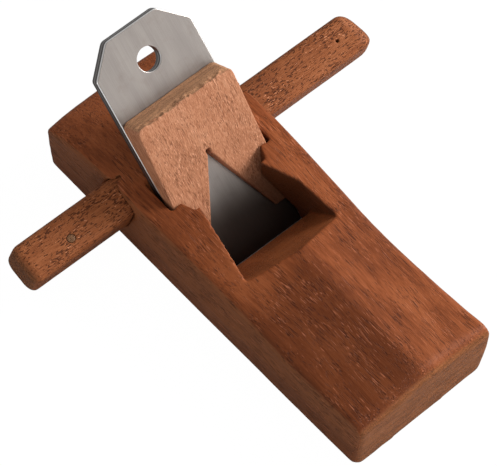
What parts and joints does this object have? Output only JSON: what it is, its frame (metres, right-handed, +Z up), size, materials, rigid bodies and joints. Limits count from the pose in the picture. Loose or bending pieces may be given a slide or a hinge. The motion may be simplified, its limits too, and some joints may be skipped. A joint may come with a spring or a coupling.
{
  "type": "wooden block plane",
  "caption": "Small wooden hand plane: low stock with a splayed throat, a thick iron bedded at 45 degrees, a swallow-tail wedge and a cross handle through the heel.",
  "frame": {"origin": "centre of the stock's sole", "axes": "+Z up, +Y towards the heel, -Y towards the toe, +X to the right of somebody looking from the heel"},
  "size_m": [0.163, 0.1709, 0.0693],
  "materials": {
    "stock_wood": "oiled red-brown hardwood, worn edges",
    "iron_steel": "satin, brushed lengthwise",
    "wedge_wood": "unfinished pink-brown hardwood, sawn end grain",
    "handle_wood": "oiled open-pored hardwood",
    "peg_wood": "end grain, cut flush"
  },
  "bodies": {
    "stock": {"stock": "stock_wood"},
    "iron": {"iron": "iron_steel"},
    "wedge": {"wedge": "wedge_wood"},
    "handle": {"handle": "handle_wood", "handle_peg": "peg_wood"}
  },
  "joints": [
    {"name": "iron_slide", "type": "slide", "parent": "stock", "child": "iron", "axis": [0, 0.7071, 0.7071], "range_m": [-0.002, 0.06]},
    {"name": "wedge_slide", "type": "slide", "parent": "stock", "child": "wedge", "axis": [0, 0.7071, 0.7071], "range_m": [0, 0.07]},
    {"name": "handle_slide", "type": "slide", "parent": "stock", "child": "handle", "axis": [1, 0, 0], "range_m": [-0.025, 0.025]}
  ]
}
